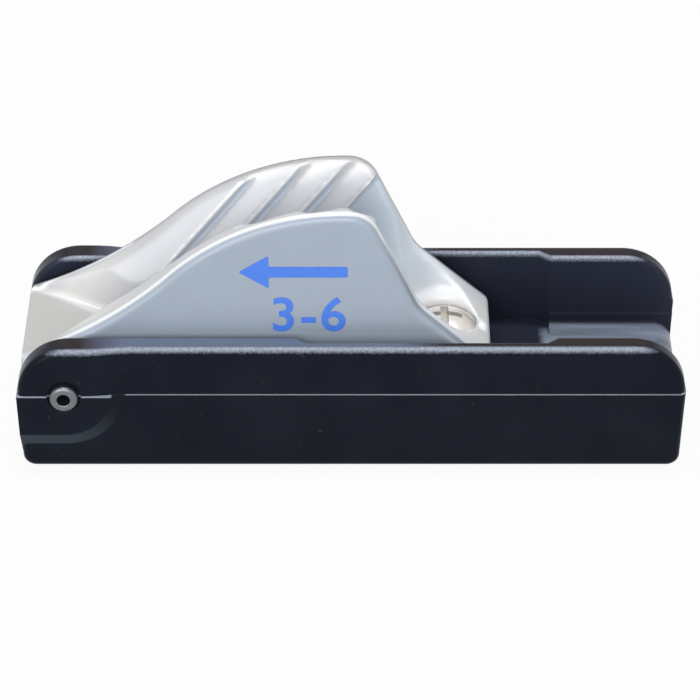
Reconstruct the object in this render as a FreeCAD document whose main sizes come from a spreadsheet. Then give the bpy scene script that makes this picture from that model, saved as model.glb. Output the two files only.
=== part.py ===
import FreeCAD, Part
import math
import os
import Sketcher

# Rope cleat in a channel casing. X runs from the load end (minus) to the tail (plus),
# Y across the casing and Z up from the face that it rests on. Lengths are millimetres
# and angles degrees. The origin is the middle of the casing's underside.
SIZES = {
    # Casing: a moulded channel in two halves of one piece, widest at the parting line
    "casing_length": 94.0,
    "casing_width": 27.5,
    "casing_height": 20.35,
    "parting_height": 12.65,
    "parting_step": 0.15,
    "lower_draft": 2.0,
    "end_shoulder": 0.2,
    "bottom_round": 1.8,
    "rim_round": 0.9,
    "inner_rim_round": 0.6,
    "thick_wall": 3.0,
    "thin_wall": 1.7,
    "thin_start": -6.95,
    "thin_end": 28.1,
    "wall_blend": 1.6,
    # Floor levels inside the channel
    "seat_height": 8.5,
    "guide_height": 9.4,
    "ledge_height": 10.7,
    "ledge_width": 0.3,
    "tongue_reach": 4.3,
    "tongue_half_width": 7.2,
    "guide_lip_round": 2.7,
    # Underside: a recess that leaves even walls and a boss for the screw
    "recess_height": 5.0,
    "recess_wall": 3.0,
    "screw_boss_radius": 4.6,
    # Raised boss at the nose, on both sides
    "boss_rise": 0.7,
    "boss_radius": 6.4,
    "boss_slope": 1.5,
    "boss_flat_length": 9.0,
    "boss_fade_length": 8.0,
    # Cross pin: a hollow tube across the nose
    "pin_inset": 6.7,
    "pin_diameter": 4.0,
    "pin_bore": 1.95,
    "pin_proud": 0.8,
    "pin_end_round": 0.5,
    "pin_clearance": 0.03,
    "pin_sink_radius": 2.4,
    "pin_sink_depth": 0.45,
    # Cleat: outside of the casting
    "cleat_nose_inset": 0.1,
    "cleat_tail_x": 20.1,
    "cleat_width": 20.25,
    "cleat_draft": 2.7,
    "nose_height": 16.2,
    "ramp_end_x": -25.5,
    "ramp_end_share": 0.57,
    "peak_x": -1.0,
    "peak_height": 38.75,
    "peak_flat": 3.45,
    "peak_round": 4.6,
    "foot_corner_x": 9.3,
    "foot_corner_height": 23.85,
    "foot_corner_round": 6.7,
    "foot_height": 14.1,
    "lip_round": 0.95,
    # Cleat: the path of the rope
    "groove_height": 14.75,
    "groove_half_width": 1.0,
    "groove_draft": 12.0,
    "mouth_start_x": -26.0,
    "mouth_angle": 25.4,
    "mouth_blend": 16.0,
    "sill_nose_height": 15.85,
    "sill_radius": 90.0,
    "sill_end_x": -30.0,
    # Cleat: teeth on both walls of the groove
    "tooth_count": 4.0,
    "tooth_pitch": 6.05,
    "tooth_angle": 48.5,
    "tooth_depth": 1.0,
    "tooth_face": 1.1,
    "first_tooth_x": -16.05,
    "tooth_gauge_height": 35.0,
    "tooth_foot_height": 17.75,
    "run_out_depth": 1.4,
    "lead_in_angle": 23.0,
    "lead_in_length": 14.0,
    # Tail screw and its seat
    "screw_x": 13.3,
    "screw_head_diameter": 8.9,
    "screw_head_height": 3.4,
    "screw_head_edge": 1.6,
    "screw_shank_diameter": 4.8,
    "screw_length": 12.0,
    "screw_clearance": 0.15,
    "recess_arm_width": 1.1,
    "recess_arm_span": 5.0,
    "recess_depth": 1.8,
    "head_pocket_radius": 4.75,
    "head_pocket_rim": 16.7,
    "head_pocket_flare": 1.25,
    "head_pocket_draft": 13.5,
    # How far a cut reaches past what it cuts
    "overshoot": 5.0,
}

# Two positions closer than this are taken as the same when edges are looked up
NEAR = 0.02


class Size:
    """A number that carries the sheet expression that it comes from."""

    def __init__(self, value, text):
        self.value = value
        self.text = text

    def join(self, other, sign, value):
        return Size(value, "(" + self.text + " " + sign + " " + other.text + ")")

    def __add__(self, other):
        other = plain(other)
        return self.join(other, "+", self.value + other.value)

    def __sub__(self, other):
        other = plain(other)
        return self.join(other, "-", self.value - other.value)

    def __mul__(self, other):
        other = plain(other)
        return self.join(other, "*", self.value * other.value)

    def __truediv__(self, other):
        other = plain(other)
        return self.join(other, "/", self.value / other.value)

    def __neg__(self):
        return Size(-self.value, "(-1 * " + self.text + ")")


def plain(number):
    return number if isinstance(number, Size) else Size(float(number), str(number))


def sine(angle):
    return Size(math.sin(math.radians(angle.value)), "sin(" + angle.text + ")")


def cosine(angle):
    return Size(math.cos(math.radians(angle.value)), "cos(" + angle.text + ")")


def tangent(angle):
    return Size(math.tan(math.radians(angle.value)), "tan(" + angle.text + ")")


class Sizes:
    """The sheet's driving sizes, each as an attribute."""


def make_sheet(doc):
    sheet = doc.addObject("Spreadsheet::Sheet", "Sizes")
    sizes = Sizes()
    for row, (name, value) in enumerate(SIZES.items(), start=1):
        sheet.set("A" + str(row), name)
        sheet.set("B" + str(row), str(value))
        sheet.setAlias("B" + str(row), name)
        setattr(sizes, name, Size(value, "Sizes." + name))

    # The pin, the boss and the cleat's nose keep their distance from the casing's end
    nose_end = -sizes.casing_length / 2
    sizes.cleat_nose_x = nose_end + sizes.cleat_nose_inset
    sizes.pin_x = nose_end + sizes.pin_inset
    sizes.boss_flat_end = nose_end + sizes.boss_flat_length
    sizes.boss_fade_end = sizes.boss_flat_end + sizes.boss_fade_length
    return sizes


# Shared helpers: sketches whose every corner is placed by the sheet, and features
def origin_plane(body, role):
    return [item for item in body.Origin.OriginFeatures if item.Role == role][0]


def new_sketch(body, name, role, lift=None):
    sketch = body.newObject("Sketcher::SketchObject", name)
    sketch.AttachmentSupport = [(origin_plane(body, role), "")]
    sketch.MapMode = "FlatFace"
    if lift is not None:
        sketch.setExpression("AttachmentOffset.Base.z", lift.text)
    return sketch


def place(sketch, geometry, end, x, y):
    """Tie one point of a sketch to two sizes."""
    for kind, axis, size in (("DistanceX", -2, x), ("DistanceY", -1, y)):
        if size.text in ("0", "0.0"):
            sketch.addConstraint(Sketcher.Constraint("PointOnObject", geometry, end, axis))
        else:
            item = Sketcher.Constraint(kind, -1, 1, geometry, end, size.value)
            index = sketch.addConstraint(item)
            sketch.setExpression("Constraints[" + str(index) + "]", size.text)


def arc_through(start, end, radius, turn):
    """The short arc between two points; turn is 1 to the left of travel, -1 to the right."""
    chord = end - start
    middle = (start + end) / 2
    reach = math.sqrt(max(radius ** 2 - (chord.Length / 2) ** 2, 0.0))
    side = FreeCAD.Vector(-chord.y, chord.x, 0) / chord.Length
    centre = middle + side * reach * turn
    angles = [math.atan2(p.y - centre.y, p.x - centre.x) for p in (start, end)]
    if turn < 0:
        angles.reverse()
    circle = Part.Circle(centre, FreeCAD.Vector(0, 0, 1), radius)
    return Part.ArcOfCircle(circle, angles[0], angles[1])


def outline(sketch, corners):
    """Close an outline. A corner is (x, y), or (x, y, radius, turn) where an arc leaves it."""
    first = sketch.GeometryCount
    points = [FreeCAD.Vector(plain(c[0]).value, plain(c[1]).value, 0) for c in corners]
    ends = []
    for number, corner in enumerate(corners):
        start = points[number]
        end = points[(number + 1) % len(points)]
        if len(corner) == 2:
            sketch.addGeometry(Part.LineSegment(start, end))
            ends.append((1, 2))
        else:
            sketch.addGeometry(arc_through(start, end, plain(corner[2]).value, corner[3]))
            ends.append((1, 2) if corner[3] > 0 else (2, 1))
    for number, corner in enumerate(corners):
        here = first + number
        before = first + (number - 1) % len(corners)
        last = ends[(number - 1) % len(corners)][1]
        start = ends[number][0]
        sketch.addConstraint(Sketcher.Constraint("Coincident", before, last, here, start))
        place(sketch, here, start, plain(corner[0]), plain(corner[1]))
        if len(corner) == 4:
            item = Sketcher.Constraint("Radius", here, plain(corner[2]).value)
            index = sketch.addConstraint(item)
            sketch.setExpression("Constraints[" + str(index) + "]", plain(corner[2]).text)


def circle(sketch, x, y, radius):
    centre = FreeCAD.Vector(plain(x).value, plain(y).value, 0)
    index = sketch.addGeometry(Part.Circle(centre, FreeCAD.Vector(0, 0, 1), radius.value))
    place(sketch, index, 3, plain(x), plain(y))
    ring = sketch.addConstraint(Sketcher.Constraint("Radius", index, radius.value))
    sketch.setExpression("Constraints[" + str(ring) + "]", radius.text)


def extrude(body, kind, name, sketch, length=None, both=False, back=False, taper=None):
    """A Pad or a Pocket; with no length a Pocket goes all the way through."""
    feature = body.newObject("PartDesign::" + kind, name)
    feature.Profile = sketch
    if length is None:
        feature.Type = "ThroughAll"
    else:
        feature.setExpression("Length", length.text)
    if both:
        feature.SideType = "Symmetric"
    feature.Reversed = back
    if taper is not None:
        feature.setExpression("TaperAngle", taper.text)
    return feature


def fillet(doc, body, name, radius, test):
    """Round the edges whose middle point passes a test."""
    doc.recompute()
    base = body.Tip
    feature = body.newObject("PartDesign::Fillet", name)
    chosen = []
    for number, edge in enumerate(base.Shape.Edges, start=1):
        if test(edge.valueAt((edge.FirstParameter + edge.LastParameter) / 2)):
            chosen.append("Edge" + str(number))
    feature.Base = (base, chosen)
    feature.setExpression("Radius", radius.text)
    return feature


def mirror_across(body, name, originals):
    """Repeat features on the other side of the XZ plane."""
    feature = body.newObject("PartDesign::Mirrored", name)
    feature.Originals = originals
    feature.MirrorPlane = (origin_plane(body, "XZ_Plane"), [""])
    body.Tip = feature
    return feature


def near(number, goal):
    return abs(number - goal) < NEAR


def make_upper_half(doc, s):
    """The casing above its parting line, with a nose boss that fades into each wall."""
    body = doc.addObject("PartDesign::Body", "upper_half")
    wall = s.casing_width / 2 - s.parting_step
    end = s.casing_length / 2 - s.parting_step
    face = wall + s.boss_rise
    fade_x = (s.boss_fade_end + s.boss_flat_end) / 2
    fade_y = wall + s.boss_rise / 2
    fade_radius = (s.boss_fade_length * s.boss_fade_length + s.boss_rise * s.boss_rise) \
        / (s.boss_rise * 4)
    plan = new_sketch(body, "upper_plan", "XY_Plane", s.parting_height)
    outline(plan, [(end, -wall), (end, wall), (s.boss_fade_end, wall, fade_radius, -1),
                   (fade_x, fade_y, fade_radius, 1), (s.boss_flat_end, face),
                   (-end, face), (-end, -face),
                   (s.boss_flat_end, -face, fade_radius, 1), (fade_x, -fade_y, fade_radius, -1),
                   (s.boss_fade_end, -wall)])
    extrude(body, "Pad", "upper_block", plan, s.casing_height - s.parting_height)
    top = s.casing_height.value
    fillet(doc, body, "end_round", s.casing_height - s.parting_height - s.end_shoulder,
           lambda m: near(m.z, top) and near(abs(m.x), end.value))
    fillet(doc, body, "outer_rim_round", s.rim_round,
           lambda m: near(m.z, top) and abs(m.y) > wall.value - NEAR)
    return body


def make_casing(doc, s):
    body = doc.addObject("PartDesign::Body", "casing")
    half = s.casing_width / 2
    half_length = s.casing_length / 2
    past_end = half_length + s.overshoot

    # Lower half: a section that narrows towards the underside
    foot_half = half - s.parting_height * tangent(s.lower_draft)
    foot_length = half_length - s.parting_height * tangent(s.lower_draft)
    section = new_sketch(body, "lower_section", "YZ_Plane")
    outline(section, [(-foot_half, 0), (foot_half, 0),
                      (half, s.parting_height), (-half, s.parting_height)])
    extrude(body, "Pad", "lower_half", section, s.casing_length, both=True)

    # Nose boss on the lower half: a flat face inside a sloping band round the pin
    sink = s.boss_rise + s.thin_wall
    foot_radius = s.boss_radius + s.boss_slope * sink / s.boss_rise
    boss = body.newObject("PartDesign::AdditiveLoft", "lower_boss")
    rings = []
    for name, radius, lift in (("boss_foot", foot_radius, half + s.boss_rise - sink),
                               ("boss_face", s.boss_radius, half + s.boss_rise)):
        ring = new_sketch(body, name, "XZ_Plane", lift)
        outline(ring, [(-past_end, s.parting_height - radius),
                       (s.pin_x, s.parting_height - radius, radius, 1),
                       (s.pin_x + radius, s.parting_height),
                       (-past_end, s.parting_height)])
        rings.append(ring)
    boss.Profile = rings[0]
    boss.Sections = [rings[1]]
    boss.Ruled = True
    body.Tip = boss
    mirror_across(body, "lower_bosses", [boss])

    # Drafted ends and rounded bottom corners
    ends = new_sketch(body, "lower_ends", "XZ_Plane")
    for side in (1, -1):
        outline(ends, [(half_length * side, s.parting_height), (foot_length * side, 0),
                       (past_end * side * 2, 0), (past_end * side * 2, s.parting_height)])
    extrude(body, "Pocket", "lower_end_draft", ends, both=True)
    fillet(doc, body, "bottom_end_round", s.bottom_round,
           lambda m: near(m.z, 0) and near(abs(m.x), foot_length.value))
    fillet(doc, body, "lower_side_round", s.rim_round,
           lambda m: near(m.z, 0) and near(abs(m.y), foot_half.value))

    # Upper half: rounded by itself, then joined a small step in from the parting line
    upper = body.newObject("PartDesign::Boolean", "upper_join")
    upper.Type = "Fuse"
    upper.Group = [make_upper_half(doc, s)]
    body.Tip = upper
    rim_half = half - s.parting_step

    # Channel: full width down to the ledge, then the cleat's seat and the rope guide
    wide = rim_half - s.thin_wall
    narrow = rim_half - s.thick_wall
    widen = s.thin_start - s.wall_blend / 2
    widened = s.thin_start + s.wall_blend / 2
    shrink = s.thin_end - s.wall_blend / 2
    front = s.thin_end + s.wall_blend / 2

    def half_outline(nose_x, side):
        return [(nose_x, narrow * side), (widen, narrow * side), (widened, wide * side),
                (shrink, wide * side), (front, narrow * side)]

    channel = new_sketch(body, "channel_plan", "XY_Plane", s.ledge_height)
    outline(channel, half_outline(-past_end, -1) + [(past_end, -narrow), (past_end, narrow)]
            + half_outline(-past_end, 1)[::-1])
    extrude(body, "Pocket", "channel", channel, back=True)
    tongue_radius = (s.tongue_half_width * s.tongue_half_width + s.tongue_reach * s.tongue_reach) \
        / (s.tongue_reach * 2)
    tongue_side = front, s.tongue_half_width
    seat = new_sketch(body, "seat_plan", "XY_Plane", s.seat_height)
    outline(seat, half_outline(-past_end, -1)
            + [(front, -s.tongue_half_width, tongue_radius, -1), tongue_side]
            + half_outline(-past_end, 1)[::-1])
    extrude(body, "Pocket", "seat", seat, back=True)
    trough_half = narrow - s.ledge_width
    trough = new_sketch(body, "guide_plan", "XY_Plane", s.guide_height)
    outline(trough, [(shrink - s.tongue_reach, -trough_half), (past_end, -trough_half),
                     (past_end, trough_half), (shrink - s.tongue_reach, trough_half)])
    extrude(body, "Pocket", "guide", trough, back=True)
    fillet(doc, body, "guide_lip_round", s.guide_lip_round,
           lambda m: near(m.z, s.guide_height.value) and m.x > foot_length.value)

    # Underside recess with a boss left standing under the screw
    recess = new_sketch(body, "recess_plan", "XY_Plane")
    recess_x = foot_length - s.recess_wall
    recess_y = foot_half - s.recess_wall
    outline(recess, [(-recess_x, -recess_y), (recess_x, -recess_y),
                     (recess_x, recess_y), (-recess_x, recess_y)])
    circle(recess, s.screw_x, 0, s.screw_boss_radius)
    extrude(body, "Pocket", "recess", recess, s.recess_height, back=True)

    # Holes: the tube's cross hole with its sunk rims, and the screw's pilot hole
    hole = new_sketch(body, "pin_hole_plan", "XZ_Plane")
    circle(hole, s.pin_x, s.parting_height, s.pin_diameter / 2 + s.pin_clearance)
    extrude(body, "Pocket", "pin_hole", hole, both=True)
    rim = new_sketch(body, "pin_sink_plan", "XZ_Plane", half + s.boss_rise)
    circle(rim, s.pin_x, s.parting_height, s.pin_sink_radius)
    sunk = extrude(body, "Pocket", "pin_sink", rim, s.pin_sink_depth)
    mirror_across(body, "pin_sinks", [sunk])
    pilot = new_sketch(body, "pilot_plan", "XY_Plane", s.foot_height - s.screw_length)
    circle(pilot, s.screw_x, 0, s.screw_shank_diameter / 2 + s.pin_clearance)
    extrude(body, "Pocket", "pilot_hole", pilot, back=True)
    fillet(doc, body, "inner_rim_round", s.inner_rim_round,
           lambda m: near(m.z, s.casing_height.value) and abs(m.y) < wide.value + NEAR)
    return body


def make_rope_path(doc, s):
    """The space that the rope runs through, as a solid to cut from the cleat."""
    body = doc.addObject("PartDesign::Body", "rope_path")
    nose_x = s.cleat_nose_x - s.overshoot
    tail_x = s.cleat_tail_x + s.overshoot
    blend_x = s.mouth_start_x - s.mouth_blend * sine(s.mouth_angle)
    blend_rise = s.mouth_blend - s.mouth_blend * cosine(s.mouth_angle)
    plans = []
    low = s.groove_height - s.groove_half_width * 2
    for name, level in (("path_floor", low), ("path_top", s.peak_height + s.overshoot)):
        wall = s.groove_half_width + (level - s.groove_height) * tangent(s.groove_draft)
        spread = wall + blend_rise
        mouth = spread + (blend_x - nose_x) * tangent(s.mouth_angle)
        plan = new_sketch(body, name, "XY_Plane", level)
        outline(plan, [(tail_x, -wall), (tail_x, wall), (s.mouth_start_x, wall, s.mouth_blend, -1),
                       (blend_x, spread), (nose_x, mouth), (nose_x, -mouth),
                       (blend_x, -spread, s.mouth_blend, -1), (s.mouth_start_x, -wall)])
        plans.append(plan)
    loft = body.newObject("PartDesign::AdditiveLoft", "path_walls")
    loft.Profile = plans[0]
    loft.Sections = [plans[1]]
    loft.Ruled = True
    body.Tip = loft
    sill = new_sketch(body, "sill_profile", "XZ_Plane")
    base = low - s.overshoot
    outline(sill, [(nose_x * 2, s.sill_nose_height),
                   (s.cleat_nose_x, s.sill_nose_height, s.sill_radius, -1),
                   (s.sill_end_x, s.groove_height), (tail_x * 2, s.groove_height),
                   (tail_x * 2, base), (nose_x * 2, base)])
    extrude(body, "Pocket", "path_sill", sill, both=True)
    return body


def make_cleat(doc, s):
    path = make_rope_path(doc, s)
    body = doc.addObject("PartDesign::Body", "cleat")
    half = s.cleat_width / 2
    nose_x = s.cleat_nose_x
    tail_x = s.cleat_tail_x
    past_nose = nose_x - s.overshoot
    past_tail = tail_x + s.overshoot
    past_top = s.peak_height + s.overshoot

    # Side outline: the ramp and the back are arcs that meet smoothly and level off at the peak
    ramp_rise = (s.peak_height - s.nose_height) * s.ramp_end_share
    ramp_end_height = s.nose_height + ramp_rise
    back_run = s.peak_x - s.ramp_end_x
    back_rise = s.peak_height - ramp_end_height
    back_radius = (back_run * back_run + back_rise * back_rise) / (back_rise * 2)
    ramp_run = s.ramp_end_x - nose_x
    ramp_bow = (ramp_run * back_run - ramp_rise * (back_radius - back_rise)) / back_radius
    ramp_radius = (ramp_run * ramp_run + ramp_rise * ramp_rise) / (ramp_bow * 2)

    # Drafted block, cut to that outline
    plan = new_sketch(body, "blank_plan", "XY_Plane", s.seat_height)
    outline(plan, [(nose_x, -half), (tail_x, -half), (tail_x, half), (nose_x, half)])
    extrude(body, "Pad", "blank", plan, past_top - s.seat_height, taper=-s.cleat_draft)
    side = new_sketch(body, "side_outline", "XZ_Plane")
    outline(side, [(past_nose, s.nose_height), (nose_x, s.nose_height, ramp_radius, 1),
                   (s.ramp_end_x, ramp_end_height, back_radius, -1),
                   (s.peak_x, s.peak_height), (s.peak_x + s.peak_flat, s.peak_height),
                   (s.foot_corner_x, s.foot_corner_height), (tail_x, s.foot_height),
                   (past_tail, s.foot_height), (past_tail, past_top + s.overshoot),
                   (past_nose, past_top + s.overshoot)])
    extrude(body, "Pocket", "side_cut", side, both=True)
    fillet(doc, body, "peak_round", s.peak_round,
           lambda m: near(m.z, s.peak_height.value) and near(m.x, (s.peak_x + s.peak_flat).value))
    fillet(doc, body, "foot_corner_round", s.foot_corner_round,
           lambda m: near(m.z, s.foot_corner_height.value) and near(m.x, s.foot_corner_x.value))
    fillet(doc, body, "lip_round", s.lip_round,
           lambda m: m.z > s.seat_height.value + NEAR
           and (abs(m.y) > half.value / 2 or not s.pin_x.value < m.x < s.screw_x.value))

    # Rope groove and mouth
    cut = body.newObject("PartDesign::Boolean", "rope_cut")
    cut.Type = "Cut"
    cut.Group = [path]
    body.Tip = cut

    # Round seat for the screw's head, flared above it, and the screw's hole
    flared = s.head_pocket_radius + s.head_pocket_flare
    flare_top = s.head_pocket_rim + s.head_pocket_flare
    seat = new_sketch(body, "head_pocket_section", "XZ_Plane")
    seat.setExpression("AttachmentOffset.Base.x", s.screw_x.text)
    outline(seat, [(0, s.foot_height), (s.head_pocket_radius, s.foot_height),
                   (s.head_pocket_radius, s.head_pocket_rim), (flared, flare_top),
                   (flared + (past_top - flare_top) * tangent(s.head_pocket_draft), past_top),
                   (0, past_top)])
    pocket = body.newObject("PartDesign::Groove", "head_pocket")
    pocket.Profile = seat
    pocket.ReferenceAxis = (seat, ["V_Axis"])
    body.Tip = pocket
    hole = new_sketch(body, "screw_hole_plan", "XY_Plane", s.foot_height + s.overshoot)
    circle(hole, s.screw_x, 0, s.screw_shank_diameter / 2 + s.screw_clearance)
    extrude(body, "Pocket", "screw_hole", hole)
    cross = new_sketch(body, "cross_hole_plan", "XZ_Plane")
    circle(cross, s.pin_x, s.parting_height, s.pin_diameter / 2 + s.pin_clearance)
    extrude(body, "Pocket", "cross_hole", cross, both=True)
    add_teeth(body, s)
    return body


def tooth_sketch(body, name, s, foot_height, corners):
    """A sketch square to the first crest on the +Y wall: x down the groove, y into the wall."""
    wall_angle = math.radians(s.groove_draft.value)
    crest_angle = math.radians(s.tooth_angle.value)
    foot_x = s.first_tooth_x - (s.tooth_gauge_height - foot_height) / tangent(s.tooth_angle)
    foot_y = s.groove_half_width + (foot_height - s.groove_height) * tangent(s.groove_draft)
    crest = FreeCAD.Vector(math.cos(crest_angle), math.sin(crest_angle) * math.tan(wall_angle),
                           math.sin(crest_angle)).normalize()
    inward = FreeCAD.Vector(0, math.cos(wall_angle), -math.sin(wall_angle))
    sketch = new_sketch(body, name, "XY_Plane")
    turn = FreeCAD.Rotation(inward.cross(crest), inward, crest, "ZXY")
    foot = FreeCAD.Vector(foot_x.value, foot_y.value, foot_height.value)
    sketch.AttachmentOffset = FreeCAD.Placement(foot, turn)
    for axis, size in zip("xyz", (foot_x, foot_y, foot_height)):
        sketch.setExpression("AttachmentOffset.Base." + axis, size.text)
    outline(sketch, corners)
    return sketch


def add_teeth(body, s):
    """Saw teeth on both walls: notches between the crests, and a run-out after the last."""
    width = s.tooth_pitch * sine(s.tooth_angle)
    proud = s.tooth_depth / 2
    start = (-(proud * s.tooth_face / s.tooth_depth), -proud)
    root = (s.tooth_face, s.tooth_depth)
    rise = (width + proud * (width - s.tooth_face) / s.tooth_depth, -proud)
    reach = s.peak_height * 2
    notch = extrude(body, "Pocket", "notch",
                    tooth_sketch(body, "notch_section", s, s.tooth_foot_height, [start, rise, root]),
                    reach, back=True)
    teeth = body.newObject("PartDesign::MultiTransform", "teeth")
    row = body.newObject("PartDesign::LinearPattern", "tooth_row")
    row.Direction = (origin_plane(body, "X_Axis"), [""])
    row.Mode = "Spacing"
    row.setExpression("Offset", s.tooth_pitch.text)
    row.setExpression("Occurrences", (s.tooth_count - 1).text)
    other_wall = body.newObject("PartDesign::Mirrored", "other_wall")
    other_wall.MirrorPlane = (origin_plane(body, "XZ_Plane"), [""])
    teeth.Originals = [notch]
    teeth.Transformations = [row, other_wall]
    body.Tip = teeth

    # Ahead of the first crest the wall opens towards the mouth
    opened = s.lead_in_length * tangent(s.lead_in_angle)
    wedge = [(proud / tangent(s.lead_in_angle), -proud), (-s.lead_in_length, opened),
             (-s.lead_in_length, -proud)]
    lead_in = extrude(body, "Pocket", "lead_in",
                      tooth_sketch(body, "lead_in_section", s, s.groove_height, wedge),
                      reach, back=True)
    mirror_across(body, "lead_ins", [lead_in])

    # Beyond the last crest the wall stays back
    wall_angle = math.radians(s.groove_draft.value)
    up_wall = FreeCAD.Vector(0, math.sin(wall_angle), math.cos(wall_angle))
    out_of_wall = FreeCAD.Vector(0, -math.cos(wall_angle), math.sin(wall_angle))
    face = new_sketch(body, "run_out_plan", "XY_Plane")
    turn = FreeCAD.Rotation(FreeCAD.Vector(1, 0, 0), up_wall, out_of_wall, "ZXY")
    face.AttachmentOffset = FreeCAD.Placement(FreeCAD.Vector(), turn)
    face.setExpression("AttachmentOffset.Base.y", s.groove_half_width.text)
    face.setExpression("AttachmentOffset.Base.z", s.groove_height.text)
    past_tail = s.cleat_tail_x + s.overshoot
    corners = []
    for height in (s.tooth_foot_height, s.peak_height + s.overshoot):
        crest_x = s.first_tooth_x + s.tooth_pitch * (s.tooth_count - 1) \
            - (s.tooth_gauge_height - height) / tangent(s.tooth_angle)
        up = (height - s.groove_height) / cosine(s.groove_draft)
        corners.append([(crest_x, up), (past_tail, up)])
    outline(face, corners[0] + corners[1][::-1])
    run_out = extrude(body, "Pocket", "run_out", face, s.run_out_depth)
    mirror_across(body, "run_outs", [run_out])


def make_cross_pin(doc, s):
    body = doc.addObject("PartDesign::Body", "cross_pin")
    section = new_sketch(body, "tube_section", "XZ_Plane")
    circle(section, 0, 0, s.pin_diameter / 2)
    circle(section, 0, 0, s.pin_bore / 2)
    length = s.casing_width + (s.boss_rise + s.pin_proud) * 2
    extrude(body, "Pad", "tube", section, length, both=True)
    outer = s.pin_diameter.value / 2
    fillet(doc, body, "end_rounds", s.pin_end_round,
           lambda m: near(abs(m.y), length.value / 2) and near(abs(m.x), outer))
    body.setExpression("Placement.Base.x", s.pin_x.text)
    body.setExpression("Placement.Base.z", s.parting_height.text)
    return body


def make_tail_screw(doc, s):
    body = doc.addObject("PartDesign::Body", "tail_screw")
    head_r = s.screw_head_diameter / 2
    shank_r = s.screw_shank_diameter / 2
    dome = s.screw_head_height - s.screw_head_edge
    dome_r = (head_r * head_r + dome * dome) / (dome * 2)
    section = new_sketch(body, "screw_section", "XZ_Plane")
    outline(section, [(0, -s.screw_length), (shank_r / 2, -s.screw_length),
                      (shank_r, -s.screw_length + shank_r / 2), (shank_r, 0), (head_r, 0),
                      (head_r, s.screw_head_edge, dome_r, 1), (0, s.screw_head_height)])
    turned = body.newObject("PartDesign::Revolution", "turned_screw")
    turned.Profile = section
    turned.ReferenceAxis = (section, ["V_Axis"])
    body.Tip = turned
    arm = s.recess_arm_width / 2
    tip = s.recess_arm_span / 2
    cross = new_sketch(body, "cross_recess_plan", "XY_Plane", s.screw_head_height)
    outline(cross, [(-tip, -arm), (-arm, -arm), (-arm, -tip), (arm, -tip), (arm, -arm), (tip, -arm),
                    (tip, arm), (arm, arm), (arm, tip), (-arm, tip), (-arm, arm), (-tip, arm)])
    extrude(body, "Pocket", "cross_recess", cross, s.recess_depth)
    body.setExpression("Placement.Base.x", s.screw_x.text)
    body.setExpression("Placement.Base.z", s.foot_height.text)
    return body


def main():
    doc = FreeCAD.newDocument("jam_cleat")
    sizes = make_sheet(doc)
    doc.recompute()
    pieces = [make_casing(doc, sizes), make_cleat(doc, sizes),
              make_cross_pin(doc, sizes), make_tail_screw(doc, sizes)]
    doc.recompute()

    # Nothing is written unless every feature built and every piece is one valid solid
    for item in doc.Objects:
        if "Invalid" in item.State or "Error" in item.State:
            raise RuntimeError(item.Label + " did not build")
    for piece in pieces:
        if piece.Shape.isNull() or not piece.Shape.isValid() or len(piece.Shape.Solids) != 1:
            raise RuntimeError(piece.Label + " is not one valid solid")
    os.makedirs("parts", exist_ok=True)
    for piece in pieces:
        piece.Shape.exportStep("parts/" + piece.Label + ".step")
        print(piece.Label, round(piece.Shape.Volume), "cubic mm,", len(piece.Shape.Faces), "faces")


main()
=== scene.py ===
import math

import bpy
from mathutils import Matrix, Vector


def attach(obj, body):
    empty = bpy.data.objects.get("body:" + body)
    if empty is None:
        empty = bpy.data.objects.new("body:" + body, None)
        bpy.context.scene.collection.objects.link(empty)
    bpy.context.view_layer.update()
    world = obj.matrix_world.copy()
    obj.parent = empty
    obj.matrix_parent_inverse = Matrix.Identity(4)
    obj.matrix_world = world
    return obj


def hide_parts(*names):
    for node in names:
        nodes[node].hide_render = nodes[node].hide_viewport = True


# Frame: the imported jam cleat, in metres, with X along the rope from the load end to the
# tail, Y across the casing and Z up. Every piece below is dressed or added in this frame.
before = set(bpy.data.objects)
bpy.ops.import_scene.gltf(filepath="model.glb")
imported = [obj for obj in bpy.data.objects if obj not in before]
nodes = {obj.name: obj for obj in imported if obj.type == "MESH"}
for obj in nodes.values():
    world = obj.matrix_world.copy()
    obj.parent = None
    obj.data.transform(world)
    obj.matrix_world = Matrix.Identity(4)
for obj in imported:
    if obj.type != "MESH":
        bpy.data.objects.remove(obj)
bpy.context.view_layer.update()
MM = 0.001
bpy.ops.object.select_all(action="DESELECT")

# Camera: a long lens in front of the casing's near wall, high enough to look down into
# the channel and the groove.
VIEW_ELEVATION = math.radians(33.4)
VIEW_DISTANCE = 496.8 * MM
VIEW_TARGET = Vector((-0.2, 0, 11.08)) * MM
VIEW_LENS = 177.7
VIEW_SENSOR = 36
away = Vector((0, -math.cos(VIEW_ELEVATION), math.sin(VIEW_ELEVATION)))
bpy.ops.object.camera_add(location=VIEW_TARGET + away * VIEW_DISTANCE)
camera = bpy.context.object
camera.name = "camera"
camera.rotation_euler = (math.pi / 2 - VIEW_ELEVATION, 0, 0)
camera.data.sensor_width = VIEW_SENSOR
camera.data.lens = VIEW_LENS
camera.data.clip_start = 10 * MM
bpy.context.scene.camera = camera
bpy.context.scene.view_settings.view_transform = "Standard"


# Casing: one moulding of black nylon, from a steel mould with a fine matt grain. Painted
# highlights run along the parting line round it and along the rims, painted reflections
# lie on the rims' flat tops and on the guide at the tail, and painted light lifts the
# channel's inner walls and the slopes under the bosses.
def new_group(name, inputs, outputs):
    """An empty shader group with its sockets, given as (name, kind, default)."""
    group = bpy.data.node_groups.new(name, "ShaderNodeTree")
    for label, kind, default in inputs:
        socket = group.interface.new_socket(
            label, in_out="INPUT", socket_type="NodeSocket" + kind)
        socket.default_value = default
    for label, kind in outputs:
        group.interface.new_socket(label, in_out="OUTPUT", socket_type="NodeSocket" + kind)
    start = group.nodes.new("NodeGroupInput")
    end = group.nodes.new("NodeGroupOutput")
    return group, start, end


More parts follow.
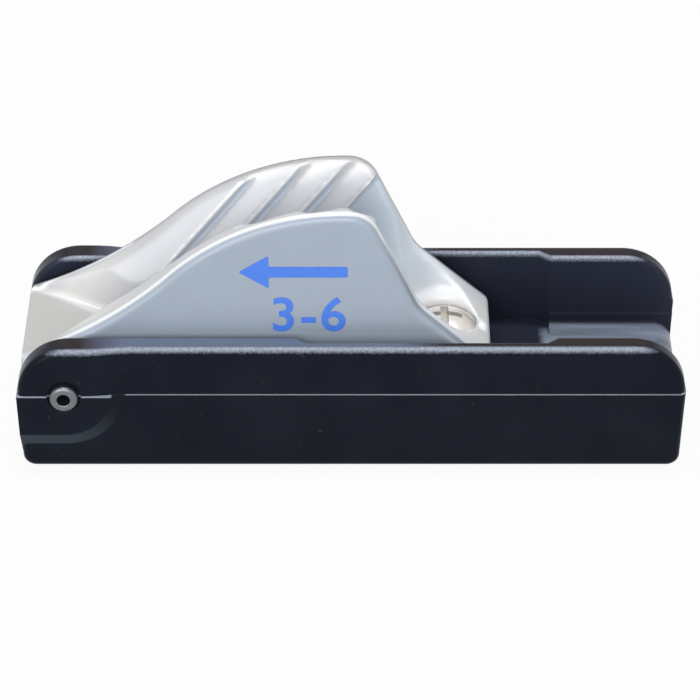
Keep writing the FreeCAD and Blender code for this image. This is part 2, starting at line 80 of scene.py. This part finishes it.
def add_node(tree, kind, *first, operation=None, group=None, **named):
    """A node with its first sockets, in their order, and named ones linked or set."""
    node = tree.nodes.new(kind)
    if operation:
        node.operation = operation
    if group:
        node.node_tree = group
    for key, value in [*enumerate(first), *named.items()]:
        if hasattr(value, "is_output"):
            tree.links.new(value, node.inputs[key])
        else:
            node.inputs[key].default_value = value
    return node


def calc(tree, operation, *values, clamp=False):
    """The result of one step of arithmetic on numbers or other results."""
    step = add_node(tree, "ShaderNodeMath", *values, operation=operation)
    step.use_clamp = clamp
    return step.outputs[0]


def times(tree, one, other):
    """The part that two masks have in common."""
    return calc(tree, "MULTIPLY", one, other)


def without(tree, mask, cut):
    """A mask with another cut out of it."""
    return calc(tree, "SUBTRACT", mask, cut, clamp=True)


def fade(tree, value, none_at, full_at, least=0, most=1):
    """A value turned into a mask: the least at none_at, rising to the most at full_at."""
    ramp = add_node(tree, "ShaderNodeMapRange", value, none_at, full_at, least, most)
    return ramp.outputs["Result"]


def split_axes(tree, vector):
    """The X, Y and Z of a place or a direction."""
    return add_node(tree, "ShaderNodeSeparateXYZ", vector).outputs


# A grain that is the same size all over a piece: its height, and a mask of slow patches
grain, grain_in, grain_out = new_group(
    "surface grain",
    [("Grain Size", "Float", 1.0), ("Patch Size", "Float", 10.0)],
    [("Height", "Float"), ("Patches", "Float")],
)
place = grain.nodes.new("ShaderNodeTexCoord").outputs["Object"]
for size_name, detail, out_name in (("Grain Size", 3.0, "Height"), ("Patch Size", 2.0, "Patches")):
    per_metre = calc(grain, "DIVIDE", 1 / MM, grain_in.outputs[size_name])
    noise = add_node(grain, "ShaderNodeTexNoise", Vector=place, Scale=per_metre, Detail=detail)
    grain.links.new(noise.outputs["Fac"], grain_out.inputs[out_name])

# How far the rounded normal leans from the true one, as a mask of a piece's edges
edge_mask, mask_in, mask_out = new_group(
    "edge mask",
    [("Rounded Normal", "Vector", (0, 0, 0)), ("Gain", "Float", 4.0)],
    [("Edge", "Float")],
)
true_normal = edge_mask.nodes.new("ShaderNodeNewGeometry").outputs["Normal"]
lean = add_node(edge_mask, "ShaderNodeVectorMath", true_normal,
                mask_in.outputs["Rounded Normal"], operation="DOT_PRODUCT")
turned = calc(edge_mask, "SUBTRACT", 1, lean.outputs["Value"])
grown = calc(edge_mask, "MULTIPLY", turned, mask_in.outputs["Gain"], clamp=True)
edge_mask.links.new(grown, mask_out.inputs["Edge"])

# A box of wear: 1 inside it, and fading to 0 towards its sides over the softness
worn_zone, zone_in, zone_out = new_group(
    "worn zone",
    [("Position", "Vector", (0, 0, 0)), ("Low", "Vector", (0, 0, 0)),
     ("High", "Vector", (0, 0, 0)), ("Softness", "Float", 1 * MM)],
    [("Mask", "Float")],
)
inside = []
for above, below in (("Position", "Low"), ("High", "Position")):
    depth = zone_in.outputs[above]
    for operation, value in (
        ("SUBTRACT", zone_in.outputs[below]),
        ("DIVIDE", zone_in.outputs["Softness"]),
        ("MINIMUM", (1, 1, 1)),
        ("MAXIMUM", (0, 0, 0)),
    ):
        step = add_node(worn_zone, "ShaderNodeVectorMath", depth, value, operation=operation)
        depth = step.outputs[0]
    inside.append(depth)
between = add_node(worn_zone, "ShaderNodeVectorMath", *inside, operation="MULTIPLY")
along = split_axes(worn_zone, between.outputs[0])
in_plan = times(worn_zone, along["X"], along["Y"])
worn_zone.links.new(times(worn_zone, in_plan, along["Z"]), zone_out.inputs["Mask"])


def finish_material(name, colour, edge_highlight_colour, patch_colour, roughness, metallic, grain_size,
                    grain_height, patch_size, edge_round, edge_gain, specular=0.5):
    """A grained surface with rounded edges, slow colour patches and a painted highlight in another
    colour along its edges.

    The sizes of the grain, the patches and the rounding are in millimetres.
    """
    material = bpy.data.materials.new(name)
    material.use_nodes = True
    tree = material.node_tree
    shader = tree.nodes["Principled BSDF"]
    shader.inputs["Metallic"].default_value = metallic
    shader.inputs["Specular IOR Level"].default_value = specular
    rounded = add_node(tree, "ShaderNodeBevel", Radius=edge_round * MM)
    rounded.samples = 8
    normal = rounded.outputs["Normal"]
    skin = add_node(tree, "ShaderNodeGroup", grain_size, patch_size, group=grain)
    bump = add_node(tree, "ShaderNodeBump", Strength=1, Distance=grain_height * MM,
                    Height=skin.outputs["Height"], Normal=normal)
    tree.links.new(bump.outputs["Normal"], shader.inputs["Normal"])
    edges = add_node(tree, "ShaderNodeGroup", normal, edge_gain, group=edge_mask)
    paint(material, skin.outputs["Patches"], patch_colour, under=colour)
    # Painted highlight along the edges, in the lighter edge colour
    paint(material, edges.outputs["Edge"], edge_highlight_colour)
    uneven = fade(tree, skin.outputs["Patches"], 0, 1, roughness * 0.85, roughness * 1.15)
    tree.links.new(uneven, shader.inputs["Roughness"])
    return material


def paint(material, mask, colour, under=None):
    """Lays a colour over the material's own, as far as the mask says."""
    tree = material.node_tree
    target = tree.nodes["Principled BSDF"].inputs["Base Color"]
    layer = tree.nodes.new("ShaderNodeMix")
    layer.data_type = "RGBA"
    layer.inputs["B"].default_value = (*colour, 1)
    tree.links.new(mask, layer.inputs["Factor"])
    if under:
        layer.inputs["A"].default_value = (*under, 1)
    else:
        tree.links.new(target.links[0].from_socket, layer.inputs["A"])
    tree.links.new(layer.outputs["Result"], target)


def add_zone(tree, position, low, high, softness):
    """The mask of a box of wear, given by its corners in millimetres."""
    low, high = ([side * MM for side in corner] for corner in (low, high))
    zone = add_node(tree, "ShaderNodeGroup", position, low, high, softness * MM,
                    group=worn_zone)
    return zone.outputs["Mask"]


def dress(piece, material):
    """Gives a piece one material all over."""
    piece.data.materials.clear()
    piece.data.materials.append(material)


nylon = finish_material(
    "black moulded nylon", colour=(0.0015, 0.003, 0.0085), edge_highlight_colour=(0.03, 0.035, 0.05),
    patch_colour=(0.0075, 0.0105, 0.0175), roughness=0.24, metallic=0, grain_size=0.35,
    grain_height=0.02, patch_size=8, edge_round=0.35, edge_gain=1.5, specular=0.09)
tree = nylon.node_tree
where = tree.nodes.new("ShaderNodeTexCoord").outputs["Object"]
height = split_axes(tree, where)["Z"]
facing = split_axes(tree, tree.nodes.new("ShaderNodeNewGeometry").outputs["Normal"])
# How far off a zone's side lies where the zone is open to that side
FAR = 200

# A painted highlight along the parting line's small upward ledge, which runs outside the
# channel only and breaks off where the rounded slope under the nose's boss comes up to it
PARTING_HIGHLIGHT_COLOUR = (0.36, 0.39, 0.45)
PARTING_LOW = 12.54
PARTING_HIGH = 12.73
parting = add_zone(tree, where, (-FAR, -FAR, PARTING_LOW), (FAR, FAR, PARTING_HIGH), 0.05)
channel = add_zone(tree, where, (-46.3, -13.7, -FAR), (46.3, 13.7, FAR), 0.05)
slope_end = add_zone(tree, where, (-33.8, -FAR, -FAR), (-31.6, FAR, FAR), 0.3)
parting_highlight = without(tree, without(tree, parting, channel), slope_end)
paint(nylon, parting_highlight, PARTING_HIGHLIGHT_COLOUR)

# Painted light on the channel's inner walls and web, which the walls keep in shade
CHANNEL_LIGHT_COLOUR = (0.024, 0.028, 0.045)
lit_channel = add_zone(tree, where, (-FAR, -12.6, 5), (FAR, 12.6, 19.9), 0.5)
paint(nylon, lit_channel, CHANNEL_LIGHT_COLOUR)

# A few pale nicks, where a noise has its peaks
NICK_COLOUR = (0.03, 0.036, 0.045)
NICK_SCALE = 700
NICK_PEAKS = (0.76, 0.86)
nick_noise = add_node(tree, "ShaderNodeTexNoise", Vector=where, Scale=NICK_SCALE, Detail=1)
paint(nylon, fade(tree, nick_noise.outputs["Fac"], *NICK_PEAKS), NICK_COLOUR)

# The rope guide's floor, with a painted reflection laid in streaks that run along the rope
GUIDE_REFLECTION_COLOUR = (0.24, 0.28, 0.36)
GUIDE_START = 27.2
STREAK_SCALE = (60, 500, 500)
STREAK_CONTRAST = (0.1, 0.65)
guide = add_zone(tree, where, (GUIDE_START, -10.1, 7.2), (FAR, 10.1, 10.4), 1)
streaks = add_node(tree, "ShaderNodeMapping", where, Scale=STREAK_SCALE)
streak_noise = add_node(tree, "ShaderNodeTexNoise", Vector=streaks.outputs[0], Scale=1, Detail=4)
streaked = fade(tree, streak_noise.outputs["Fac"], *STREAK_CONTRAST)
paint(nylon, times(tree, guide, streaked), GUIDE_REFLECTION_COLOUR)

# The rims' rounded shoulders, told by how far they turn sideways, with a painted highlight
# in grey that ends below in a ragged, specked edge
RIM_HIGHLIGHT_COLOUR = (0.56, 0.62, 0.74)
RIM_TOP = 20.35
RIM_HIGHLIGHT_DEPTH = 0.75
SHOULDER_TURN = (0.12, 0.75)
SPECK_SCALE = 3200
SPECK_REACH = 0.5
SPECK_CONTRAST = (0.35, 0.6)
SPECK_LEAST = 0.8
shoulder = fade(tree, calc(tree, "ABSOLUTE", facing["Y"]), *SHOULDER_TURN)
speck_noise = add_node(tree, "ShaderNodeTexNoise", Vector=where, Scale=SPECK_SCALE, Detail=2)
specks = speck_noise.outputs["Fac"]
ragged = calc(tree, "MULTIPLY_ADD", specks, SPECK_REACH * MM, height)
high_up = fade(tree, ragged, (RIM_TOP - RIM_HIGHLIGHT_DEPTH) * MM, (RIM_TOP + SPECK_REACH) * MM)
specked = fade(tree, specks, *SPECK_CONTRAST, least=SPECK_LEAST)
paint(nylon, times(tree, times(tree, shoulder, high_up), specked), RIM_HIGHLIGHT_COLOUR)

# The flat tops of the rims, with a painted dark brown reflection, and beside the cleat a painted
# slate blue reflection of its flank
RIM_TOP_REFLECTION_COLOUR = (0.022, 0.0155, 0.018)
CLEAT_REFLECTION_COLOUR = (0.125, 0.155, 0.23)
rim_top = add_zone(tree, where, (-FAR, -FAR, RIM_TOP - 0.3), (FAR, FAR, RIM_TOP + 1), 0.2)
flat_top = without(tree, rim_top, shoulder)
paint(nylon, flat_top, RIM_TOP_REFLECTION_COLOUR)
beside_cleat = add_zone(tree, where, (-38, -20, -FAR), (13, 20, FAR), 6)
paint(nylon, times(tree, beside_cleat, flat_top), CLEAT_REFLECTION_COLOUR)

# The slopes that face downwards under the bosses, lighter with painted light from the floor
SLOPE_LIGHT_COLOUR = (0.02, 0.034, 0.048)
DOWNWARD_TURN = (-0.2, -0.5)
paint(nylon, fade(tree, facing["Z"], *DOWNWARD_TURN), SLOPE_LIGHT_COLOUR)
dress(nodes["casing"], nylon)

# Cleat: an aluminium casting, tumbled and silver anodised. Its lips and tooth crests are
# softly rounded, and the groove, the crests and the mouth are painted paler than the flanks
# with painted light and highlights. The pin and the screw hold it in the casing.
casting = bpy.data.objects.new("cleat_casting", nodes["cleat"].data.copy())
bpy.context.scene.collection.objects.link(casting)
casting.select_set(True)
bpy.context.view_layer.objects.active = casting
WELD_WITHIN = 0.001
bpy.ops.object.mode_set(mode="EDIT")
bpy.ops.mesh.select_all(action="SELECT")
bpy.ops.mesh.remove_doubles(threshold=WELD_WITHIN * MM)
bpy.ops.object.mode_set(mode="OBJECT")
SKIN_VOXEL = 0.32
TUMBLE_STRENGTH = 0.5
TUMBLE_ROUNDS = 5
skinned = casting.modifiers.new("one even skin", "REMESH")
skinned.mode = "VOXEL"
skinned.voxel_size = SKIN_VOXEL * MM
bpy.ops.object.modifier_apply(modifier=skinned.name)
tumbled = casting.modifiers.new("tumbled edges", "SMOOTH")
tumbled.factor = TUMBLE_STRENGTH
tumbled.iterations = TUMBLE_ROUNDS
bpy.ops.object.modifier_apply(modifier=tumbled.name)
bpy.ops.object.shade_smooth()
casting.select_set(False)

aluminium = finish_material(
    "satin cast aluminium", colour=(0.315, 0.36, 0.43), edge_highlight_colour=(0.7, 0.72, 0.75),
    patch_colour=(0.34, 0.39, 0.46), roughness=0.4, metallic=0.12, grain_size=0.25,
    grain_height=0.006, patch_size=5, edge_round=0.3, edge_gain=1.2)
tree = aluminium.node_tree
where = tree.nodes.new("ShaderNodeTexCoord").outputs["Object"]
axes = split_axes(tree, where)
facing = split_axes(tree, tree.nodes.new("ShaderNodeNewGeometry").outputs["Normal"])

# A place on the cleat, told by how far back it lies along the slant of the crests, by its
# distance from the middle with the flanks' draft taken off, and by its height
CREST_ANGLE = math.radians(48.5)
FLANK_DRAFT = math.radians(2.7)
FLANK_LEAN = math.tan(FLANK_DRAFT)
back = calc(tree, "MULTIPLY_ADD", axes["Z"], -1 / math.tan(CREST_ANGLE), axes["X"])
across = calc(tree, "ABSOLUTE", axes["Y"])
upright = calc(tree, "MULTIPLY_ADD", axes["Z"], FLANK_LEAN, across)
slanted = add_node(tree, "ShaderNodeCombineXYZ", back, upright, axes["Z"]).outputs[0]

# The toothed part of the groove, paler with painted light, and with painted shade in a bluer grey
# on the teeth's steep tailward faces
GROOVE_LIGHT_COLOUR = (0.57, 0.575, 0.6)
STEEP_SHADE_COLOUR = (0.57, 0.65, 0.79)
STEEP_TURN = (0.4, 0.6)
groove = add_zone(tree, slanted, (-FAR, -FAR, -FAR), (-28, 9.6, FAR), 0.7)
paint(aluminium, groove, GROOVE_LIGHT_COLOUR)
tailward = fade(tree, facing["X"], *STEEP_TURN)
paint(aluminium, times(tree, groove, tailward), STEEP_SHADE_COLOUR)

# The mouth at the nose: painted shade in grey on the sill, and painted light on the paler
# flared walls past the two creases that run from its apex outwards and on to the nose
SILL_SHADE_COLOUR = (0.51, 0.505, 0.49)
FLARE_LIGHT_COLOUR = (0.7, 0.69, 0.675)
CREASE_APEX = -33
CREASE_SPREAD = 1.54
MOUTH_HALF_WIDTH = 8.8
ahead = calc(tree, "MULTIPLY_ADD", across, CREASE_SPREAD, axes["X"])
mouth = add_node(tree, "ShaderNodeCombineXYZ", ahead, upright, axes["X"]).outputs[0]
sill = add_zone(tree, mouth, (-FAR, -FAR, -FAR), (CREASE_APEX, MOUTH_HALF_WIDTH, -20), 0.5)
paint(aluminium, sill, SILL_SHADE_COLOUR)
past_crease = add_zone(tree, mouth, (CREASE_APEX, -FAR, -FAR), (FAR, MOUTH_HALF_WIDTH, FAR), 1)
nose_end = add_zone(tree, where, (-FAR, -FAR, -FAR), (-30, FAR, FAR), 8)
paint(aluminium, times(tree, past_crease, nose_end), FLARE_LIGHT_COLOUR)

# Painted light on the inner walls that fall to the tail, lighter low down, and a painted highlight
# on the seat round the screw
EXIT_LIGHT_COLOUR = (0.56, 0.62, 0.7)
LOW_WALL_LIGHT_COLOUR = (0.78, 0.84, 0.9)
SEAT_HIGHLIGHT_COLOUR = (0.92, 0.91, 0.9)
exit_walls = add_zone(tree, slanted, (-28.6, -FAR, -FAR), (FAR, 9.4, FAR), 0.6)
paint(aluminium, exit_walls, EXIT_LIGHT_COLOUR)
low_down = add_zone(tree, where, (-FAR, -FAR, -FAR), (FAR, FAR, 31), 7)
paint(aluminium, times(tree, low_down, exit_walls), LOW_WALL_LIGHT_COLOUR)
seat = add_zone(tree, slanted, (-8, -1, 0), (FAR, 9.6, 26.5), 5)
paint(aluminium, seat, SEAT_HIGHLIGHT_COLOUR)

# Painted light on the foot of each flank, against the shade of the casing's walls
FLANK_FOOT_LIGHT_COLOUR = (0.64, 0.73, 0.83)
flank = add_zone(tree, slanted, (-FAR, 9.9, -FAR), (FAR, FAR, FAR), 0.4)
foot = add_zone(tree, slanted, (-FAR, -FAR, -FAR), (FAR, FAR, 20.6), 3)
paint(aluminium, times(tree, foot, flank), FLANK_FOOT_LIGHT_COLOUR)

# The lips, with a painted highlight up to the top of the arch, and painted shade at the
# outer edge where they fall to the tail
LIP_HIGHLIGHT_COLOUR = (0.88, 0.88, 0.88)
DESCENT_SHADE_COLOUR = (0.27, 0.3, 0.35)
lip = add_zone(tree, slanted, (-FAR, 8.9, -FAR), (FAR, 10.12, FAR), 0.4)
descent = add_zone(tree, where, (4, -FAR, -FAR), (FAR, FAR, FAR), 3)
paint(aluminium, without(tree, lip, descent), LIP_HIGHLIGHT_COLOUR)
outer_edge = add_zone(tree, slanted, (-FAR, 9.3, -FAR), (FAR, 10.3, FAR), 0.3)
paint(aluminium, times(tree, outer_edge, descent), DESCENT_SHADE_COLOUR)

# The lip on the +Y side, which the light catches otherwise: a painted highlight in a band
# below its top, painted shade on the grey lip, and darker painted shade on the outer edge
FAR_BAND_HIGHLIGHT_COLOUR = (0.72, 0.715, 0.71)
FAR_LIP_SHADE_COLOUR = (0.46, 0.455, 0.46)
FAR_EDGE_SHADE_COLOUR = (0.2, 0.21, 0.23)
other_side = add_zone(tree, where, (-FAR, 0, -FAR), (FAR, FAR, FAR), 0.5)
for low, high, softness, colour in (
    ((-47, 7.6, 24), (-28.4, 9.1, FAR), 0.6, FAR_BAND_HIGHLIGHT_COLOUR),
    ((-60, 8.5, 24), (FAR, FAR, FAR), 0.5, FAR_LIP_SHADE_COLOUR),
    ((-FAR, 9.3, 16), (FAR, FAR, FAR), 0.45, FAR_EDGE_SHADE_COLOUR),
):
    band = add_zone(tree, slanted, low, high, softness)
    paint(aluminium, times(tree, band, other_side), colour)

# The teeth: a painted highlight along each crest, and painted light in a pale streak along the
# valley behind it.
# Each is given by its distance from the crest and the half widths of its edge and its core.
VALLEY_LIGHT_COLOUR = (0.72, 0.8, 0.92)
FIRST_CREST = -47.02
CREST_PITCH = 6.05
toothed = add_zone(tree, slanted, (-48.5, -FAR, 19), (-28.3, 8.2, FAR), 0.6)
from_crest = calc(tree, "WRAP", back, (FIRST_CREST + CREST_PITCH / 2) * MM,
                  (FIRST_CREST - CREST_PITCH / 2) * MM)
for distance, edge, core, colour in (
    (-0.15, 0.45, 0.15, LIP_HIGHLIGHT_COLOUR),
    (1.4, 0.55, 0.1, VALLEY_LIGHT_COLOUR),
):
    off_line = calc(tree, "SUBTRACT", from_crest, (FIRST_CREST + distance) * MM)
    line = fade(tree, calc(tree, "ABSOLUTE", off_line), edge * MM, core * MM)
    paint(aluminium, times(tree, toothed, line), colour)
dress(casting, aluminium)
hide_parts("cleat")
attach(casting, "root")

# Cross pin: a drawn stainless tube, cut off and rounded at its ends, that holds the nose
# of the cleat in the casing.
dress(nodes["cross_pin"], finish_material(
    "drawn steel tube", colour=(0.2, 0.21, 0.235), edge_highlight_colour=(0.42, 0.44, 0.47),
    patch_colour=(0.15, 0.155, 0.17), roughness=0.3, metallic=0.9, grain_size=0.15,
    grain_height=0.004, patch_size=1, edge_round=0.2, edge_gain=2))

# Tail screw: a stainless pan head screw with a cross recess, driven through the cleat's
# foot into the web below.
dress(nodes["tail_screw"], finish_material(
    "stainless screw", colour=(0.78, 0.75, 0.71), edge_highlight_colour=(0.85, 0.83, 0.8),
    patch_colour=(0.58, 0.55, 0.515), roughness=0.38, metallic=0.6, grain_size=0.3,
    grain_height=0.004, patch_size=1.5, edge_round=0.15, edge_gain=2))

# Mark: a pad print in blue ink on the near flank, an arrow towards the load end over the
# range of rope sizes in millimetres. It is a film of ink that follows the flank's draft.
MARK_PROUD = 0.04
MARK_DEPTH = 0.1
MARK_X = -6
FLANK_HALF_WIDTH = 10.125
FLANK_FOOT = 8.5


def place_on_flank(piece, height):
    """Turns a flat piece, drawn facing up, on to the near flank at that height."""
    y = -(FLANK_HALF_WIDTH - (height - FLANK_FOOT) * FLANK_LEAN)
    piece.rotation_euler = (math.pi / 2 - FLANK_DRAFT, 0, 0)
    piece.location = (MARK_X * MM, y * MM, height * MM)
    bpy.ops.object.transform_apply(location=True, rotation=True, scale=True)


def make_film(piece):
    """Gives a flat outline the thickness of the ink, from just inside the flank outwards."""
    film = piece.modifiers.new("film", "SOLIDIFY")
    film.thickness = MARK_DEPTH * MM
    film.offset = 2 * MARK_PROUD / MARK_DEPTH - 1
    bpy.ops.object.modifier_apply(modifier=film.name)
    bpy.ops.object.shade_flat()


# The figures: thickened type, set in the middle under the arrow
FIGURE_SIZE = 7.5
FIGURE_BOLDNESS = 0.12
FIGURE_SPACING = 1.1
FIGURE_HEIGHT = 20.7
bpy.ops.object.text_add(location=(0, 0, 0))
sizes = bpy.context.object
sizes.name = "size_mark"
sizes.data.body = "3-6"
sizes.data.size = FIGURE_SIZE * MM
sizes.data.align_x = "CENTER"
sizes.data.offset = FIGURE_BOLDNESS * MM
sizes.data.space_character = FIGURE_SPACING
bpy.ops.object.convert(target="MESH")
make_film(sizes)
place_on_flank(sizes, FIGURE_HEIGHT)

# The arrow: a bar whose load end is widened and drawn out to a point
SHAFT_LENGTH = 11
SHAFT_WIDTH = 1.7
HEAD_LENGTH = 4.2
HEAD_WIDTH = 5.2
CORNER_ROUND = 0.3
ARROW_HEIGHT = 30
bpy.ops.object.select_all(action="DESELECT")
bpy.ops.mesh.primitive_plane_add(size=1, location=(0, 0, 0))
arrow = bpy.context.object
arrow.name = "load_arrow"
bpy.ops.object.mode_set(mode="EDIT")
bpy.ops.transform.resize(value=(SHAFT_LENGTH * MM, SHAFT_WIDTH * MM, 1))
bpy.ops.mesh.select_all(action="DESELECT")
bpy.ops.object.mode_set(mode="OBJECT")
for edge in arrow.data.edges:
    edge.select = all(arrow.data.vertices[end].co.x < 0 for end in edge.vertices)
bpy.ops.object.mode_set(mode="EDIT")
bpy.ops.mesh.select_mode(type="EDGE")
bpy.ops.mesh.extrude_region_move()
bpy.ops.transform.resize(value=(1, HEAD_WIDTH / SHAFT_WIDTH, 1))
bpy.ops.mesh.extrude_region_move(TRANSFORM_OT_translate={"value": (-HEAD_LENGTH * MM, 0, 0)})
bpy.ops.mesh.merge(type="CENTER")
bpy.ops.mesh.select_all(action="SELECT")
bpy.ops.mesh.dissolve_degenerate(threshold=WELD_WITHIN * MM)
bpy.ops.mesh.dissolve_limited(angle_limit=math.radians(1))
bpy.ops.mesh.select_all(action="SELECT")
bpy.ops.mesh.bevel(offset=CORNER_ROUND * MM, segments=4, affect="VERTICES")
bpy.ops.object.mode_set(mode="OBJECT")
make_film(arrow)
place_on_flank(arrow, ARROW_HEIGHT)

ink = finish_material(
    "blue pad print ink", colour=(0.045, 0.165, 0.66), edge_highlight_colour=(0.06, 0.2, 0.72),
    patch_colour=(0.065, 0.215, 0.74), roughness=0.45, metallic=0, grain_size=0.3,
    grain_height=0.003, patch_size=0.8, edge_round=0.05, edge_gain=1)
for piece in (sizes, arrow):
    dress(piece, ink)
    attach(piece, "root")

# Floor: a pale sheet far larger than the view. The camera sees it nearly white, with the
# soft shadow that the casing throws on it.
FLOOR_SIZE = 8
FLOOR_COLOUR = (0.8, 0.8, 0.8, 1)
SHADOW_SHARE = 0.07
bpy.ops.mesh.primitive_plane_add(size=FLOOR_SIZE, location=(0, 0, 0))
floor = bpy.context.object
floor.name = "floor"
paper = bpy.data.materials.new("pale paper")
paper.use_nodes = True
tree = paper.node_tree
matt = tree.nodes["Principled BSDF"]
matt.inputs["Base Color"].default_value = FLOOR_COLOUR
matt.inputs["Roughness"].default_value = 0.9
matt.inputs["Specular IOR Level"].default_value = 0.1


def seen_directly(tree):
    """1 for what the camera sees, straight or in a shiny or clear surface, and else 0."""
    ray = tree.nodes.new("ShaderNodeLightPath").outputs
    seen = calc(tree, "ADD", ray["Is Camera Ray"], ray["Is Glossy Ray"])
    return calc(tree, "ADD", seen, ray["Is Transmission Ray"], clamp=True)


white = add_node(tree, "ShaderNodeEmission", Color=(1, 1, 1, 1), Strength=1)
white_share = calc(tree, "MULTIPLY", seen_directly(tree), 1 - SHADOW_SHARE)
blend = add_node(tree, "ShaderNodeMixShader", white_share, matt.outputs["BSDF"],
                 white.outputs["Emission"])
tree.links.new(blend.outputs["Shader"], tree.nodes["Material Output"].inputs["Surface"])
floor.data.materials.append(paper)

# Light: an even pale room that the camera sees as white, a long strip lamp straight
# overhead, which adds its own line to the painted highlight along each rim, and a wide soft
# lamp in front that fills the near sides.
ROOM_COLOUR = (0.88, 0.94, 1.0, 1)
ROOM_STRENGTH = 0.3
world = bpy.data.worlds.new("pale room")
bpy.context.scene.world = world
world.use_nodes = True
tree = world.node_tree
room = tree.nodes["Background"]
room.inputs["Color"].default_value = ROOM_COLOUR
room.inputs["Strength"].default_value = ROOM_STRENGTH
backdrop = add_node(tree, "ShaderNodeBackground", Color=(1, 1, 1, 1), Strength=1)
blend = add_node(tree, "ShaderNodeMixShader", seen_directly(tree),
                 room.outputs["Background"], backdrop.outputs["Background"])
tree.links.new(blend.outputs["Shader"], tree.nodes["World Output"].inputs["Surface"])


def add_lamp(name, azimuth, elevation, distance, size, radiance, colour):
    """A soft lamp that faces the object, with its brightness as a share of white.

    The angles are in degrees, and the distance and the size in metres.
    """
    turn = math.radians(azimuth)
    rise = math.radians(elevation)
    direction = Vector((math.sin(turn) * math.cos(rise), -math.cos(turn) * math.cos(rise),
                        math.sin(rise)))
    bpy.ops.object.light_add(type="AREA", location=direction * distance)
    lamp = bpy.context.object
    lamp.name = name
    lamp.rotation_euler = direction.to_track_quat("Z", "Y").to_euler()
    lamp.data.shape = "RECTANGLE"
    lamp.data.size = size[0]
    lamp.data.size_y = size[1]
    lamp.data.energy = radiance * math.pi * size[0] * size[1]
    lamp.data.color = colour


add_lamp("strip lamp", azimuth=-4, elevation=95, distance=1.2, size=(0.9, 0.16),
         radiance=18, colour=(1, 0.98, 0.96))
add_lamp("front lamp", azimuth=-12, elevation=24, distance=1.3, size=(1.4, 1.0),
         radiance=3.2, colour=(0.98, 0.99, 1))
